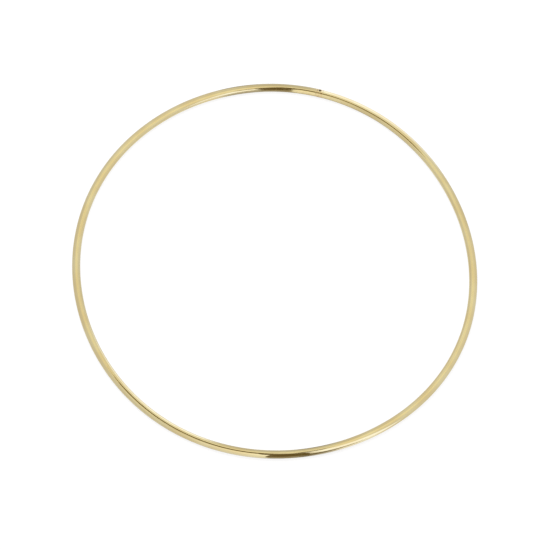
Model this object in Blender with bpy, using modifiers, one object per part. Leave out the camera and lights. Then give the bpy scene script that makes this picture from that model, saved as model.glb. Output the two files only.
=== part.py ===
"""Wreath frame: one length of round brass wire, bent into a hoop and closed by a butt weld.

The hoop lies flat in the XY plane. The origin is the hoop's centre, halfway up the wire, +Z is the
hoop's own axis, and the weld is on the +Y side.
"""

import math

import bpy
from mathutils import Matrix, Vector

# Driving dimensions, in metres and radians.
OUTSIDE_DIAMETER = 0.150
WIRE_DIAMETER = 0.003
OUT_OF_ROUND = 0.00027  # how far each of two waves takes the bent hoop off a true circle
WIDEST_ANGLE = math.radians(-12)  # where both waves are at their widest
WELD_ANGLE = math.radians(90)  # counted from +X, as every angle round the hoop
WELD_LENGTH = 0.0016  # along the wire
WELD_EDGE_BREAK = 0.0002  # the weld's ends are dressed back by this much
JOINT_GAP = 0.0003  # between the weld and each cut end of the wire

# How finely the round shapes are divided.
WIRE_SEGMENTS = 181  # odd, so that one segment is centred opposite the weld
BEVEL_RESOLUTION = 6
WIRE_SIDES = 4 + 2 * BEVEL_RESOLUTION
HALF_SIDE = math.pi / WIRE_SIDES

WIRE_RADIUS = WIRE_DIAMETER / 2
CENTRELINE_RADIUS = (OUTSIDE_DIAMETER - WIRE_DIAMETER) / 2
# The sides lie at the wire's true radius, so the corners between them stand a little proud of it.
CORNER_RADIUS = WIRE_RADIUS / math.cos(HALF_SIDE)


def clear_scene():
    """Remove whatever the scene holds."""
    for obj in list(bpy.data.objects):
        bpy.data.objects.remove(obj)


def new_collection(name):
    """A collection in the scene for the object's parts."""
    collection = bpy.data.collections.new(name)
    bpy.context.scene.collection.children.link(collection)
    return collection


def new_metal(name, colour, roughness):
    """A bare metal with one colour and one roughness."""
    material = bpy.data.materials.new(name)
    material.use_nodes = True
    shader = material.node_tree.nodes["Principled BSDF"]
    shader.inputs["Base Color"].default_value = (*colour, 1)
    shader.inputs["Metallic"].default_value = 1.0
    shader.inputs["Roughness"].default_value = roughness
    return material


def add_object(name, data, collection, material):
    """An object with its own name and material, in the collection."""
    obj = bpy.data.objects.new(name, data)
    obj.data.materials.append(material)
    collection.objects.link(obj)
    return obj


def centreline_point(angle):
    """The middle of the wire at this angle round the hoop, with the hoop's two waves."""
    turned = angle - WIDEST_ANGLE
    radius = CENTRELINE_RADIUS + OUT_OF_ROUND * (math.cos(3 * turned) + math.cos(4 * turned))
    return Vector((radius * math.cos(angle), radius * math.sin(angle), 0))


def centreline_direction(angle):
    """The way the wire runs at this angle round the hoop."""
    small = math.radians(0.01)
    return (centreline_point(angle + small) - centreline_point(angle - small)).normalized()


def add_hoop_wire(collection, material):
    """The wire from one cut end, all the way round the hoop, to the other cut end."""
    curve = bpy.data.curves.new("hoop_wire", "CURVE")
    curve.dimensions = "3D"
    curve.twist_mode = "Z_UP"
    curve.bevel_depth = CORNER_RADIUS
    curve.bevel_resolution = BEVEL_RESOLUTION
    curve.use_fill_caps = True

    half_opening = (WELD_LENGTH / 2 + JOINT_GAP) / centreline_point(WELD_ANGLE).length
    start = WELD_ANGLE + half_opening
    sweep = 2 * math.pi - 2 * half_opening
    spline = curve.splines.new("POLY")
    spline.points.add(WIRE_SEGMENTS)
    for number, point in enumerate(spline.points):
        position = centreline_point(start + sweep * number / WIRE_SEGMENTS)
        point.co = (*position, 1)
        point.tilt = HALF_SIDE  # turns a side, not a corner, to face straight down
    return add_object("hoop_wire", curve, collection, material)


def add_butt_weld(collection, material):
    """The bead of weld metal between the cut ends, dressed flush with the wire."""
    half_length = WELD_LENGTH / 2
    end_radius = CORNER_RADIUS - WELD_EDGE_BREAK
    shoulder = half_length - WELD_EDGE_BREAK
    profile = [
        (0, half_length),
        (end_radius, half_length),
        (CORNER_RADIUS, shoulder),
        (CORNER_RADIUS, -shoulder),
        (end_radius, -half_length),
        (0, -half_length),
    ]
    mesh = bpy.data.meshes.new("butt_weld")
    mesh.from_pydata(
        [(radius, 0, height) for radius, height in profile],
        [(number, number + 1) for number in range(len(profile) - 1)],
        [],
    )
    weld = add_object("butt_weld", mesh, collection, material)

    screw = weld.modifiers.new("turned", "SCREW")
    screw.steps = WIRE_SIDES
    screw.render_steps = WIRE_SIDES
    screw.use_merge_vertices = True
    screw.merge_threshold = 0.00001

    along_wire = centreline_direction(WELD_ANGLE).to_track_quat("Z", "X").to_matrix()
    weld.rotation_euler = (along_wire @ Matrix.Rotation(HALF_SIDE, 3, "Z")).to_euler()
    weld.location = centreline_point(WELD_ANGLE)
    return weld


def main():
    clear_scene()
    collection = new_collection("wreath_frame")
    polished_brass = new_metal("polished_brass", (0.80, 0.62, 0.27), 0.12)
    weld_brass = new_metal("weld_brass", (0.62, 0.45, 0.20), 0.30)
    add_hoop_wire(collection, polished_brass)
    add_butt_weld(collection, weld_brass)


main()
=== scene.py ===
"""Wreath frame: the looks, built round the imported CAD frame.

The CAD wire and weld are replaced by fine surfaces of the same size. The wire is polished brass, with
the drawing lines that the die left along it. It lies on a plain pale floor, inside a small light box
that only its reflections show. Lengths are in metres, and places are from the middle of the hoop.
"""

import math

import bpy
import numpy as np
from mathutils import Matrix, Vector, noise


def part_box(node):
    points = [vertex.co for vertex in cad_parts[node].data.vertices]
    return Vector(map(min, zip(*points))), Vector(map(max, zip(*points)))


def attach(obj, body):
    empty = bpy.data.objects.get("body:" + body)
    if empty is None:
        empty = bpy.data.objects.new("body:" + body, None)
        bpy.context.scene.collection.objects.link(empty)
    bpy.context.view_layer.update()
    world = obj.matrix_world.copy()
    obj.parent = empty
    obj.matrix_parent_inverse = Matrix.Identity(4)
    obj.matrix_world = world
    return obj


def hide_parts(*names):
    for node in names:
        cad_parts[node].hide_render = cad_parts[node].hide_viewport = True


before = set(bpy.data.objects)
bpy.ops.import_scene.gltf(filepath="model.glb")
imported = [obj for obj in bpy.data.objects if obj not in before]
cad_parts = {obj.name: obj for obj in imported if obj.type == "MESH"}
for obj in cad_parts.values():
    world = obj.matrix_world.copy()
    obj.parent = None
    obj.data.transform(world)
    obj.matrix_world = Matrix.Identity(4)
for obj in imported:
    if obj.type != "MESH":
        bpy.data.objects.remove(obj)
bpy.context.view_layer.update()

# The studio's camera, which looks at the hoop from above, a little from the right and tilted.
CAMERA_AZIMUTH = math.radians(4.15)
CAMERA_ELEVATION = math.radians(67.0)
CAMERA_ROLL = math.radians(9.66)
CAMERA_DISTANCE = 1.5
CAMERA_FIELD = 0.203  # how much of the floor the picture spans, through the middle of the hoop
CAMERA_AIM = Vector((0.0006, -0.00262, 0))
SENSOR_WIDTH = 36  # in millimetres, as the camera wants it

# The wire's surface.
WIRE_SIDES = 48
WIRE_STEP = 0.00032  # along the wire
WAVES_ROUND_HOOP = 4  # the CAD wire's distance from the centre has no more waves than this
RIPPLE_HEIGHT = 0.000012  # how far the bending rolls left the wire off its smooth curve
RIPPLE_LENGTH = 0.014

# The weld's surface.
WELD_SIDES = 96
WELD_RINGS = 120
WELD_OVERLAP = 0.0002  # how far the weld metal runs over each end of the wire
WELD_CROWN = 0.000022  # how far it stands proud in the middle
WELD_TOE = 0.000004  # how far its edges dip below the wire's surface
LUMP_HEIGHT = 0.000012
LUMPS = 2.1  # in each radius of the wire
PIT_DEPTH = 0.00030
PIT_RADIUS = 0.00048
PIT_RISE = math.radians(66)  # from straight outwards towards straight up
PIT_UNEVENNESS = 0.35  # of its outline
PIT_DETAIL = 1.7  # how much finer its outline is than the lumps
RIM_HEIGHT = 0.12  # the rim's, as a share of the pit's depth
RIM_PLACE = 1.35  # from the pit's middle, in pit radii
RIM_WIDTH = 1 / 3  # in pit radii

# Where in the noise each pattern is taken from.
SEED_STEP = Vector((17.3, 5.1, 9.7))
OUTLINE_SHIFT = Vector((3.1, 0, 0))

# The colours of the brass and of the weld metal.
BRASS = (0.90, 0.765, 0.375, 1)
BRASS_WARM = (0.86, 0.695, 0.315, 1)
BRASS_PALE = (0.93, 0.815, 0.44, 1)
WELD_PALE = (0.88, 0.72, 0.34, 1)
WELD_BROWN = (0.78, 0.58, 0.26, 1)
PIT_BROWN = (0.12, 0.085, 0.04, 1)

# How rough each of them is.
CLEAN_ROUGHNESS = 0.05  # of the wire, between smudges
SMUDGED_ROUGHNESS = 0.12
LINE_ROUGHNESS = 0.04  # added on the finest drawing lines
FINE_LINE_SHARE = 0.4  # of the drawing lines' relief. The broad ones have the rest.
WELD_SMOOTHEST = 0.10
WELD_ROUGHEST = 0.24
PIT_ROUGHNESS = 0.4  # added in the pit

# The floor and the lamp over it.
FLOOR_RADIUS = 4
FLOOR_CORNERS = 96
FLOOR_COLOUR = (0.13, 0.13, 0.13, 1)
FLOOR_GLOW = 0.85  # its own light, which makes it nearly white
LAMP_PLACE = Vector((-0.3, 0.4, 1.3))
LAMP_SIZE = 1.2
LAMP_POWER = 22

# The light box round the hoop, which only reflections see.
BOX_LEFT = -0.20
BOX_RIGHT = 0.20
BOX_BACK = 0.170
BOX_TOP = 0.46
LEFT_TOP = 0.36  # the left side is lower
LEFT_FRONT = -0.25  # how far forward the front cloth stands, on the left of the slit
RIGHT_FRONT = -0.110  # and on the right of it
SLIT_LEFT = 0.0165
SLIT_RIGHT = 0.0545
RIGHT_LEAN = 0.040  # how far the slit's right edge has leaned away from it at the top
RIGHT_LIFT = 0.024  # how far the cloth on the right of the slit hangs above the floor there
LIFT_END = 0.12
LIP_FRONT = -0.087  # a low lip of cloth stands nearer to the hoop, on the left of the slit
LIP_HEIGHT = 0.020
LIP_LEAN = -0.003
ROOM_FRONT = -0.13  # the dark room shows through the slit
ROOM_LEFT = 0.026

# The light on the box, some of it as shares of its cloth's own colour. A pair of places is where a
# change begins and where it ends, from left to right or on the way up.
CLOTH_LOW = (0.67, 0.68, 0.80, 1)
CLOTH_HIGH = (0.88, 0.87, 0.87, 1)
LAMP_GLOW = (1.15, 1.24, 1.75, 1)
GLOW_SLANT = 0.5  # how far a lamp's glow leans to the left for each metre up
DARK = (0.14, 0.105, 0.05, 1)
WHITE = (1, 1, 1, 1)
LEFT_DIM = 1.03  # of the cloths on the left of the slit, away from it
LEFT_BRIGHT = 1.55  # and by the slit
LEFT_BRIGHTENS = (-0.13, 0.07)
LIP_BRIGHTENS = (-0.06, 0.03)
FOOT_HEIGHT = 0.012
FOOT_LIGHT = 0.85  # of those cloths below that height
UPPER_FADES = (0.10, 0.32)
UPPER_LIGHT = 0.78  # of those cloths above that
RIGHT_GLOW_BEGINS = (0.052, 0.072)  # on the cloth on the right of the slit
RIGHT_GLOW_ENDS = (0.16, 0.24)
SEAM = -0.003  # up the back, where the lamp's glow begins
SEAM_BLUR = 0.002
BACK_GLOW_ENDS = (0.065, 0.145)
BACK_GLOW_DIMS = (0.15, 0.50)
BACK_GLOW_TOP = 0.25  # the share of the glow that is left above that
SEAM_SHADE = 0.86  # of the back, on the left of the seam
SEAM_SHADE_WIDTH = 0.01
BACK_LEFT_FADES = (-0.08, -0.03)
BACK_LEFT_MORE = 0.18  # added to the back on the left of that
LEFT_SIDE_LIGHT = (0.98, 1.02)  # at the foot, and at the top
RIGHT_SIDE_LIGHT = (1.10, 0.94)

# The glossy sheet at the bottom, and the soft shadow that crosses it from the slit.
SHEET_ROUGHNESS = 0.1
SHEET_MIRROR = 0.65  # the share of its look that is a mirror's, not its own white
SHADOW_DIRECTION = math.radians(114.5)
SHADOW_OFFSET = 0.002  # to the right of the hoop's middle
SHADOW_CORE = 0.0035  # half the width of its darkest part
SHADOW_EDGE = 0.0098  # half its whole width
SHADOW_DEPTH = 0.5

# The light over the box, and the bars over the hoop.
OVERHEAD_LEFT = (0.83, 0.82, 0.82, 1)
OVERHEAD_RIGHT = (0.94, 0.92, 0.92, 1)
DARK_BARS = (  # where each bar starts and ends, its width, and its height over the hoop
    ((-0.185, -0.070), (-0.075, -0.130), 0.055, 0.35),
    ((-0.15, -0.19), (0.075, -0.025), 0.10, 0.70),
    ((-0.124, 0.009), (-0.035, -0.110), 0.112, 0.35),
    ((-0.05, -0.155), (0.075, -0.36), 0.23, 0.70),
)
FAINT_BAR = ((0.076, -0.105), (0.047, -0.038), 0.024, 0.20)
FAINT = (0.25, 0.23, 0.18, 1)


# ---------------------------------------------------------------- the frame's measurements


def angles_and_radii(node):
    """The angle round the hoop and the distance from its axis of every corner of a CAD node."""
    corners = np.array([vertex.co for vertex in node.data.vertices])
    return np.arctan2(corners[:, 1], corners[:, 0]), np.hypot(corners[:, 0], corners[:, 1])


def wave_terms(angle):
    """1, then the cosine and the sine of each multiple of the angle."""
    terms = [np.ones_like(angle)]
    for count in range(1, WAVES_ROUND_HOOP + 1):
        terms += [np.cos(count * angle), np.sin(count * angle)]
    return np.stack(terms, axis=-1)


def centreline_waves(node):
    """The waves that give the radius of the wire's middle. Each ring of corners is centred on it."""
    angle, radius = angles_and_radii(node)
    return np.linalg.lstsq(wave_terms(angle), radius, rcond=None)[0]


class Hoop:
    """Where the CAD hoop's wire runs, how thick it is, and where the weld is."""

    def __init__(self, wire, weld):
        low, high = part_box(wire)
        self.wire_radius = (high.z - low.z) / 2
        self.height = (high.z + low.z) / 2
        self.floor = low.z
        self.waves = centreline_waves(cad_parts[wire])
        weld_low, weld_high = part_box(weld)
        middle = (weld_low + weld_high) / 2
        self.weld_angle = math.atan2(middle.y, middle.x)
        angle, _ = angles_and_radii(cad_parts[wire])
        from_weld = (angle - self.weld_angle) % (2 * math.pi)
        self.start = self.weld_angle + from_weld.min()
        self.end = self.weld_angle + from_weld.max()
        self.mean_radius = self.waves[0]

    def middle(self, angle):
        """Points on the wire's centreline, as an array."""
        angle = np.asarray(angle, float)
        radius = wave_terms(angle) @ self.waves
        flat = np.stack([radius * np.cos(angle), radius * np.sin(angle)], axis=-1)
        return np.concatenate([flat, np.full_like(flat[..., :1], self.height)], axis=-1)

    def outwards(self, angle):
        """Level directions square to the wire, away from the hoop's middle."""
        small = 1e-5
        along = self.middle(np.asarray(angle) + small) - self.middle(np.asarray(angle) - small)
        across = np.stack([along[..., 1], -along[..., 0], np.zeros_like(along[..., 0])], axis=-1)
        return across / np.linalg.norm(across, axis=-1, keepdims=True)


# ---------------------------------------------------------------- meshes


def tube_mesh(name, points, straight):
    """A closed tube through rings of points, capped at both ends.

    straight holds where each point was before the wire was bent, for the materials to follow.
    """
    rings, sides = points.shape[:2]
    faces = []
    for ring in range(rings - 1):
        for side in range(sides):
            after = (side + 1) % sides
            here, there = ring * sides, (ring + 1) * sides
            faces.append((here + side, here + after, there + after, there + side))
    faces.append(tuple(reversed(range(sides))))
    faces.append(tuple(range((rings - 1) * sides, rings * sides)))
    mesh = bpy.data.meshes.new(name)
    mesh.from_pydata(points.reshape(-1, 3).tolist(), [], faces)
    kept = mesh.attributes.new("straight", "FLOAT_VECTOR", "POINT")
    kept.data.foreach_set("vector", straight.reshape(-1).astype(np.float32))
    mesh.shade_smooth()
    for cap in mesh.polygons[-2:]:
        cap.use_smooth = False
    mesh.validate()
    return mesh


def add_piece(name, mesh, node, material):
    """A piece of the object that stands for a CAD node and rides with it."""
    piece = bpy.data.objects.new(name, mesh)
    bpy.context.scene.collection.objects.link(piece)
    mesh.materials.append(material)
    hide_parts(node)
    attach(piece, "root")
    return piece


def smooth_noise(places, seed):
    """Perlin noise at each place. Each seed takes another part of the noise."""
    return np.array([noise.noise(Vector(place) + SEED_STEP * seed) for place in places])


def wire_surface(hoop):
    """The bent wire: a fine round tube, with the slight ripple that bending rolls leave."""
    length = hoop.mean_radius * (hoop.end - hoop.start)
    rings = round(length / WIRE_STEP)
    angle = np.linspace(hoop.start, hoop.end, rings + 1)
    run = (angle - hoop.start) * hoop.mean_radius
    places = [(distance / RIPPLE_LENGTH, 0, 0) for distance in run]
    ripple_out = RIPPLE_HEIGHT * smooth_noise(places, 1)
    ripple_up = RIPPLE_HEIGHT * smooth_noise(places, 2)
    round_wire = np.arange(WIRE_SIDES) * 2 * math.pi / WIRE_SIDES
    # Going round from outwards towards up is right-handed about the way back along the wire.
    out = hoop.wire_radius * np.cos(round_wire)
    up = -hoop.wire_radius * np.sin(round_wire)
    points = (
        hoop.middle(angle)[:, None, :]
        + (out[None, :] + ripple_out[:, None])[..., None] * hoop.outwards(angle)[:, None, :]
        + (up[None, :] + ripple_up[:, None])[..., None] * np.array([0, 0, 1])
    )
    straight = np.empty_like(points)
    straight[..., 0] = out
    straight[..., 1] = up
    straight[..., 2] = run[:, None]
    return tube_mesh("hoop_wire_surface", points, straight)


def weld_relief(run, turn, hoop, half_length):
    """How far the weld's surface stands off the wire's, and how much of it is pit, from 0 to 1.

    run is the distance along the weld from its middle, and turn the angle round it.
    """
    share = abs(run) / half_length
    bead = WELD_CROWN * (1 - share**2) - WELD_TOE * share**6
    place = Vector((math.cos(turn), math.sin(turn), run / hoop.wire_radius)) * LUMPS
    lumps = LUMP_HEIGHT * noise.noise(place) * (1 - share**4)
    across = hoop.wire_radius * (turn - PIT_RISE)
    away = math.hypot(run, across) / PIT_RADIUS
    uneven = 1 + PIT_UNEVENNESS * noise.noise(place * PIT_DETAIL + OUTLINE_SHIFT)
    pit = math.exp(-((away * uneven) ** 4))
    rim = RIM_HEIGHT * math.exp(-(((away - RIM_PLACE) / RIM_WIDTH) ** 2))
    return bead + lumps + PIT_DEPTH * (rim - pit), pit


def weld_surface(hoop):
    """The weld: a bead a little proud of the wire, dressed smooth, with one small pit left in it."""
    wire_gap = (2 * math.pi - (hoop.end - hoop.start)) * hoop.mean_radius
    half_length = wire_gap / 2 + WELD_OVERLAP
    points = np.empty((WELD_RINGS, WELD_SIDES, 3))
    straight = np.empty_like(points)
    pits = np.empty((WELD_RINGS, WELD_SIDES))
    for ring, run in enumerate(np.linspace(-half_length, half_length, WELD_RINGS)):
        angle = hoop.weld_angle + run / hoop.mean_radius
        middle = hoop.middle(angle)
        outwards = hoop.outwards(angle)
        for side in range(WELD_SIDES):
            turn = math.pi - side * 2 * math.pi / WELD_SIDES
            relief, pits[ring, side] = weld_relief(run, turn, hoop, half_length)
            radius = hoop.wire_radius + relief
            out, up = radius * math.cos(turn), radius * math.sin(turn)
            points[ring, side] = middle + out * outwards + up * np.array([0, 0, 1])
            straight[ring, side] = (out, up, run)
    mesh = tube_mesh("butt_weld_surface", points, straight)
    kept = mesh.attributes.new("pit", "FLOAT", "POINT")
    kept.data.foreach_set("value", pits.reshape(-1).astype(np.float32))
    return mesh


# ---------------------------------------------------------------- materials


class Tree:
    """Adds nodes to a shader tree. An input is a plain value or another node's output."""

    def __init__(self, tree):
        self.tree = tree
        tree.nodes.clear()

    def add(self, kind, inputs=None, output=0, **settings):
        """Adds a node, and returns one of its outputs."""
        node = self.tree.nodes.new(kind)
        for name, value in settings.items():
            setattr(node, name, value)
        for name, value in (inputs or {}).items():
            if isinstance(value, bpy.types.NodeSocket):
                self.tree.links.new(value, node.inputs[name])
            else:
                node.inputs[name].default_value = value
        return node.outputs[output] if node.outputs else node

    def math(self, operation, first, second=0.0):
        """One value worked out from another, or from two."""
        return self.add("ShaderNodeMath", {0: first, 1: second}, operation=operation)

    def product(self, *factors):
        """All the factors, multiplied together."""
        result = factors[0]
        for factor in factors[1:]:
            result = self.math("MULTIPLY", result, factor)
        return result

    def ramp(self, value, start, end, low=0.0, high=1.0):
        """A smooth step from low, where value is start, to high, where it is end."""
        inputs = {"Value": value, "From Min": start, "From Max": end, "To Min": low, "To Max": high}
        return self.add("ShaderNodeMapRange", inputs, interpolation_type="SMOOTHSTEP")

    def mix(self, share, first, second):
        """A colour between two colours."""
        # The node has a pair of inputs for each kind of value. The colours are 6 and 7.
        inputs = {0: share, 6: first, 7: second}
        return self.add("ShaderNodeMix", inputs, output=2, data_type="RGBA")

    def noise(self, place, scale, detail=2.0, roughness=0.5):
        """Noise from 0 to 1, mostly near the middle."""
        inputs = {"Vector": place, "Scale": scale, "Detail": detail, "Roughness": roughness}
        return self.add("ShaderNodeTexNoise", inputs)

    def stretched(self, place, along):
        """The place with distances along the wire shrunk, so that a pattern on it is drawn out."""
        return self.add("ShaderNodeVectorMath", {0: place, 1: (1, 1, along)}, operation="MULTIPLY")

    def parts(self, vector):
        """The x, y and z of a vector."""
        split = self.tree.nodes.new("ShaderNodeSeparateXYZ")
        self.tree.links.new(vector, split.inputs[0])
        return split.outputs[0], split.outputs[1], split.outputs[2]

    def place(self):
        """Where the surface is, as separate x, y and z."""
        return self.parts(self.add("ShaderNodeNewGeometry", output="Position"))

    def shine(self, colour, strength=1.0):
        """Makes the surface give off light and nothing else."""
        light = self.add("ShaderNodeEmission", {"Color": colour, "Strength": strength})
        self.add("ShaderNodeOutputMaterial", {"Surface": light})


def new_material(name):
    """A material, and its shader tree with nothing in it yet."""
    material = bpy.data.materials.new(name)
    material.use_nodes = True
    return material, Tree(material.node_tree)


def polished_brass():
    """Bright drawn brass wire: even, with fine lines along it and faint handling marks."""
    material, tree = new_material("polished_brass")
    place = tree.add("ShaderNodeAttribute", output="Vector", attribute_name="straight")
    lines = tree.noise(tree.stretched(place, along=0.008), scale=9000, detail=3)
    broad_lines = tree.noise(tree.stretched(place, along=0.02), scale=1800)
    clouds = tree.noise(tree.stretched(place, along=0.4), scale=260, detail=3)
    smudges = tree.noise(tree.stretched(place, along=0.5), scale=900, detail=4, roughness=0.6)

    tone = tree.mix(tree.ramp(clouds, start=0.35, end=0.65), BRASS_WARM, BRASS)
    tone = tree.mix(tree.ramp(broad_lines, start=0.55, end=0.75, high=0.5), tone, BRASS_PALE)
    roughness = tree.ramp(smudges, start=0.35, end=0.75, low=CLEAN_ROUGHNESS, high=SMUDGED_ROUGHNESS)
    roughness = tree.math("ADD", roughness, tree.ramp(lines, start=0.55, end=0.8, high=LINE_ROUGHNESS))
    relief = tree.math(
        "ADD",
        tree.math("MULTIPLY", lines, FINE_LINE_SHARE),
        tree.math("MULTIPLY", broad_lines, 1 - FINE_LINE_SHARE),
    )
    bump = tree.add("ShaderNodeBump", {"Strength": 0.12, "Distance": 0.00002, "Height": relief})
    inputs = {"Base Color": tone, "Metallic": 1.0, "Roughness": roughness, "Normal": bump}
    surface = tree.add("ShaderNodeBsdfPrincipled", inputs)
    tree.add("ShaderNodeOutputMaterial", {"Surface": surface})
    return material


def weld_brass():
    """Dressed weld metal: a little browner and rougher than the wire, and dark in the pit."""
    material, tree = new_material("weld_brass")
    place = tree.add("ShaderNodeAttribute", output="Vector", attribute_name="straight")
    pit = tree.add("ShaderNodeAttribute", output="Fac", attribute_name="pit")
    grain = tree.noise(place, scale=5200, detail=4, roughness=0.6)
    patches = tree.noise(place, scale=1500)

    tone = tree.mix(tree.ramp(patches, start=0.35, end=0.7), WELD_PALE, WELD_BROWN)
    tone = tree.mix(tree.ramp(pit, start=0.05, end=0.6), tone, PIT_BROWN)
    roughness = tree.ramp(grain, start=0.35, end=0.7, low=WELD_SMOOTHEST, high=WELD_ROUGHEST)
    roughness = tree.math("ADD", roughness, tree.math("MULTIPLY", pit, PIT_ROUGHNESS))
    bump = tree.add("ShaderNodeBump", {"Strength": 0.25, "Distance": 0.00003, "Height": grain})
    inputs = {"Base Color": tone, "Metallic": 1.0, "Roughness": roughness, "Normal": bump}
    surface = tree.add("ShaderNodeBsdfPrincipled", inputs)
    tree.add("ShaderNodeOutputMaterial", {"Surface": surface})
    return material


# ---------------------------------------------------------------- the light box's materials


def cloth_colour(tree, height):
    """White cloth lit from outside: cool and dimmer near the floor."""
    return tree.mix(tree.ramp(height, 0.0, BOX_TOP), CLOTH_LOW, CLOTH_HIGH)


def front_left_cloth(name, brightens):
    """A cloth on the left of the slit: brighter by the slit, and dimmer at its foot and higher up."""
    material, tree = new_material(name)
    x, _, z = tree.place()
    light = tree.product(
        tree.ramp(x, *brightens, low=LEFT_DIM, high=LEFT_BRIGHT),
        tree.ramp(z, 0.0, FOOT_HEIGHT, low=FOOT_LIGHT),
        tree.ramp(z, *UPPER_FADES, low=1.0, high=UPPER_LIGHT),
    )
    tree.shine(cloth_colour(tree, z), light)
    return material


def glow_end(tree, x, z, ends):
    """The share of a lamp's glow, which dies away to the right and leans to the left as it rises."""
    to_right = tree.math("ADD", x, tree.math("MULTIPLY", z, GLOW_SLANT))
    return tree.ramp(to_right, *ends, low=1.0, high=0.0)


def front_right_cloth():
    """The cloth on the right of the slit, with a lamp's glow on it."""
    material, tree = new_material("front_right_cloth")
    x, _, z = tree.place()
    glow = tree.product(tree.ramp(x, *RIGHT_GLOW_BEGINS), glow_end(tree, x, z, RIGHT_GLOW_ENDS))
    tree.shine(tree.mix(glow, cloth_colour(tree, z), LAMP_GLOW))
    return material


def back_cloth():
    """The back of the box, with a lamp's glow on it to the right of its seam."""
    material, tree = new_material("back_cloth")
    x, _, z = tree.place()
    glow = tree.product(
        tree.ramp(x, SEAM - SEAM_BLUR, SEAM + SEAM_BLUR),
        glow_end(tree, x, z, BACK_GLOW_ENDS),
        tree.ramp(z, *BACK_GLOW_DIMS, low=1.0, high=BACK_GLOW_TOP),
    )
    by_seam = tree.ramp(x, SEAM - SEAM_SHADE_WIDTH, SEAM, low=SEAM_SHADE)
    light = tree.math("ADD", by_seam, tree.ramp(x, *BACK_LEFT_FADES, low=BACK_LEFT_MORE, high=0.0))
    tree.shine(tree.mix(glow, cloth_colour(tree, z), LAMP_GLOW), light)
    return material


def side_cloth(name, foot_light, top_light):
    """A side of the box. Its light changes from its foot to the box's top."""
    material, tree = new_material(name)
    _, _, z = tree.place()
    tree.shine(cloth_colour(tree, z), tree.ramp(z, 0.0, BOX_TOP, foot_light, top_light))
    return material


def plain_shade(name, colour):
    """Something dim and even."""
    material, tree = new_material(name)
    tree.shine(colour)
    return material


def bottom_sheet():
    """The glossy white sheet that the hoop lies on, with the shadow from the slit."""
    material, tree = new_material("bottom_sheet")
    x, y, _ = tree.place()
    across = tree.math(
        "SUBTRACT",
        tree.math("MULTIPLY", x, math.sin(SHADOW_DIRECTION)),
        tree.math("MULTIPLY", y, math.cos(SHADOW_DIRECTION)),
    )
    from_middle = tree.math("ABSOLUTE", tree.math("SUBTRACT", across, SHADOW_OFFSET))
    shadow = tree.ramp(from_middle, SHADOW_CORE, SHADOW_EDGE, low=SHADOW_DEPTH, high=0.0)
    own_white = tree.add("ShaderNodeEmission", {"Color": tree.mix(shadow, CLOTH_LOW, DARK)})
    tone = tree.mix(shadow, WHITE, DARK)
    mirror = tree.add("ShaderNodeBsdfAnisotropic", {"Color": tone, "Roughness": SHEET_ROUGHNESS})
    surface = tree.add("ShaderNodeMixShader", {0: SHEET_MIRROR, 1: own_white, 2: mirror})
    tree.add("ShaderNodeOutputMaterial", {"Surface": surface})
    return material


# ---------------------------------------------------------------- the studio


def add_panel(name, corners, material):
    """A flat sheet of the light box, which only reflections see."""
    mesh = bpy.data.meshes.new(name)
    mesh.from_pydata(corners, [], [tuple(range(len(corners)))])
    mesh.materials.append(material)
    panel = bpy.data.objects.new(name, mesh)
    bpy.context.scene.collection.objects.link(panel)
    panel.visible_camera = False
    panel.visible_diffuse = False
    panel.visible_shadow = False
    panel.visible_transmission = False


def add_upright(name, start, end, floor, material, top=BOX_TOP, lean=0.0, lift=0.0):
    """A panel standing on the floor between two places. Its starting edge may lean, and be lifted."""
    start, end = Vector(start), Vector(end)
    leaning = start + (end - start).normalized() * lean
    corners = [(*start, floor + lift), (*end, floor), (*end, top), (*leaning, top)]
    add_panel(name, corners, material)


def add_front(floor, dark):
    """The front cloths, the slit between them, and the dark room beyond it."""
    lip_cloth = front_left_cloth("lip_cloth", LIP_BRIGHTENS)
    lip_ends = ((SLIT_LEFT, LIP_FRONT), (BOX_LEFT, LIP_FRONT))
    add_upright("lip", *lip_ends, floor, lip_cloth, top=LIP_HEIGHT, lean=LIP_LEAN)
    left_cloth = front_left_cloth("front_left_cloth", LEFT_BRIGHTENS)
    add_upright("front_left", (LIFT_END, LEFT_FRONT), (BOX_LEFT, LEFT_FRONT), floor, left_cloth)

    right_cloth = front_right_cloth()
    lifted_ends = ((SLIT_RIGHT, RIGHT_FRONT), (LIFT_END, RIGHT_FRONT))
    add_upright("lifted", *lifted_ends, floor, right_cloth, lean=RIGHT_LEAN, lift=RIGHT_LIFT)
    add_upright("front_right", (LIFT_END, RIGHT_FRONT), (BOX_RIGHT, RIGHT_FRONT), floor, right_cloth)
    add_upright("dark_room", (ROOM_LEFT, ROOM_FRONT), (BOX_RIGHT, ROOM_FRONT), floor, dark)


def add_light_box(floor, dark):
    """Cloth on four sides of the hoop and a sheet under it. Its top is open to the studio's light."""
    front_left = (BOX_LEFT, LEFT_FRONT)
    back_left = (BOX_LEFT, BOX_BACK)
    back_right = (BOX_RIGHT, BOX_BACK)
    add_front(floor, dark)
    right_cloth = side_cloth("right_cloth", *RIGHT_SIDE_LIGHT)
    add_upright("right_side", (BOX_RIGHT, RIGHT_FRONT), back_right, floor, right_cloth)
    add_upright("back", back_right, back_left, floor, back_cloth())
    left_cloth = side_cloth("left_cloth", *LEFT_SIDE_LIGHT)
    add_upright("left_side", back_left, front_left, floor, left_cloth, top=LEFT_TOP)
    outline = (front_left, (BOX_RIGHT, LEFT_FRONT), back_right, back_left)
    add_panel("bottom", [(*corner, floor) for corner in outline], bottom_sheet())


def add_bar(name, start, end, width, height, material):
    """A bar that crosses above the hoop, which only reflections see."""
    start, end = Vector(start), Vector(end)
    along = (end - start).normalized()
    side = Vector((-along.y, along.x)) * width / 2
    corners = [start + side, start - side, end - side, end + side]
    add_panel(name, [(*corner, height) for corner in corners], material)


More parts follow.
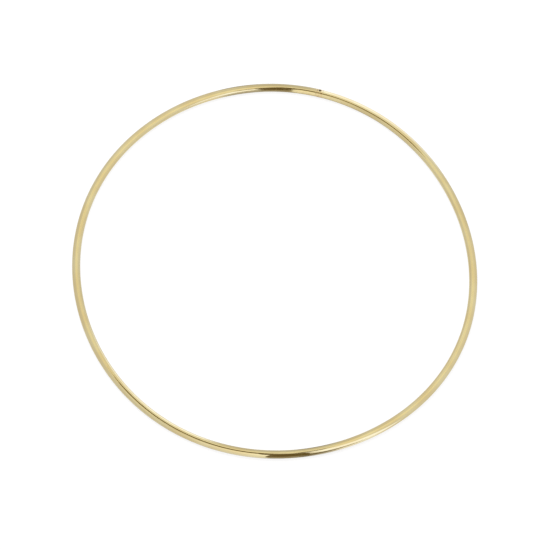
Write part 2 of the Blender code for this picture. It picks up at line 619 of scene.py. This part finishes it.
def add_bars(dark):
    """The dark bars, and a fainter one low over the near right of the hoop."""
    for number, bar in enumerate(DARK_BARS):
        add_bar(f"dark_bar_{number + 1}", *bar, dark)
    add_bar("faint_bar", *FAINT_BAR, plain_shade("faint", FAINT))


def add_floor(height):
    """A plain pale floor. Reflections see the light box instead."""
    place = (0, 0, height)
    bpy.ops.mesh.primitive_circle_add(
        vertices=FLOOR_CORNERS, radius=FLOOR_RADIUS, fill_type="NGON", location=place
    )
    floor = bpy.context.object
    floor.name = "floor"
    floor.visible_glossy = False
    material, tree = new_material("pale_floor")
    matt = tree.add("ShaderNodeBsdfDiffuse", {"Color": FLOOR_COLOUR})
    glow = tree.add("ShaderNodeEmission", {"Strength": FLOOR_GLOW})
    surface = tree.add("ShaderNodeAddShader", {0: matt, 1: glow})
    tree.add("ShaderNodeOutputMaterial", {"Surface": surface})
    floor.data.materials.append(material)


def set_world():
    """Even light from all round, a little dimmer on the left. The camera sees plain white."""
    world = bpy.data.worlds.new("studio")
    bpy.context.scene.world = world
    world.use_nodes = True
    tree = Tree(world.node_tree)
    rightwards, _, _ = tree.parts(tree.add("ShaderNodeTexCoord", output="Generated"))
    light = tree.mix(tree.ramp(rightwards, start=-0.5, end=0.5), OVERHEAD_LEFT, OVERHEAD_RIGHT)
    to_camera = tree.add("ShaderNodeLightPath", output="Is Camera Ray")
    light = tree.mix(to_camera, light, WHITE)
    background = tree.add("ShaderNodeBackground", {"Color": light})
    tree.add("ShaderNodeOutputWorld", {"Surface": background})


def add_lamp():
    """A large soft lamp overhead, for the floor."""
    data = bpy.data.lights.new("soft_lamp", "AREA")
    data.shape = "DISK"
    data.size = LAMP_SIZE
    data.energy = LAMP_POWER
    lamp = bpy.data.objects.new("soft_lamp", data)
    lamp.location = LAMP_PLACE
    lamp.rotation_euler = (-LAMP_PLACE).to_track_quat("-Z", "Y").to_euler()
    lamp.visible_glossy = False
    lamp.visible_camera = False
    bpy.context.scene.collection.objects.link(lamp)


def add_camera():
    """The camera, at the photograph's viewing angle."""
    level = math.cos(CAMERA_ELEVATION)
    towards = Vector((
        math.sin(CAMERA_AZIMUTH) * level,
        -math.cos(CAMERA_AZIMUTH) * level,
        math.sin(CAMERA_ELEVATION),
    ))
    data = bpy.data.cameras.new("camera")
    data.sensor_width = SENSOR_WIDTH
    data.lens = SENSOR_WIDTH * CAMERA_DISTANCE / CAMERA_FIELD
    camera = bpy.data.objects.new("camera", data)
    camera.location = CAMERA_AIM + towards * CAMERA_DISTANCE
    facing = (-towards).to_track_quat("-Z", "Y").to_matrix()
    camera.rotation_euler = (facing @ Matrix.Rotation(CAMERA_ROLL, 3, "Z")).to_euler()
    bpy.context.scene.collection.objects.link(camera)
    bpy.context.scene.camera = camera


hoop = Hoop("hoop_wire", "butt_weld")
wire_piece = add_piece("hoop_wire_surface", wire_surface(hoop), "hoop_wire", polished_brass())
weld_piece = add_piece("butt_weld_surface", weld_surface(hoop), "butt_weld", weld_brass())

dark = plain_shade("dark", DARK)
add_floor(hoop.floor)
add_light_box(hoop.floor, dark)
add_bars(dark)
add_lamp()
set_world()
add_camera()
bpy.context.scene.view_settings.view_transform = "Standard"
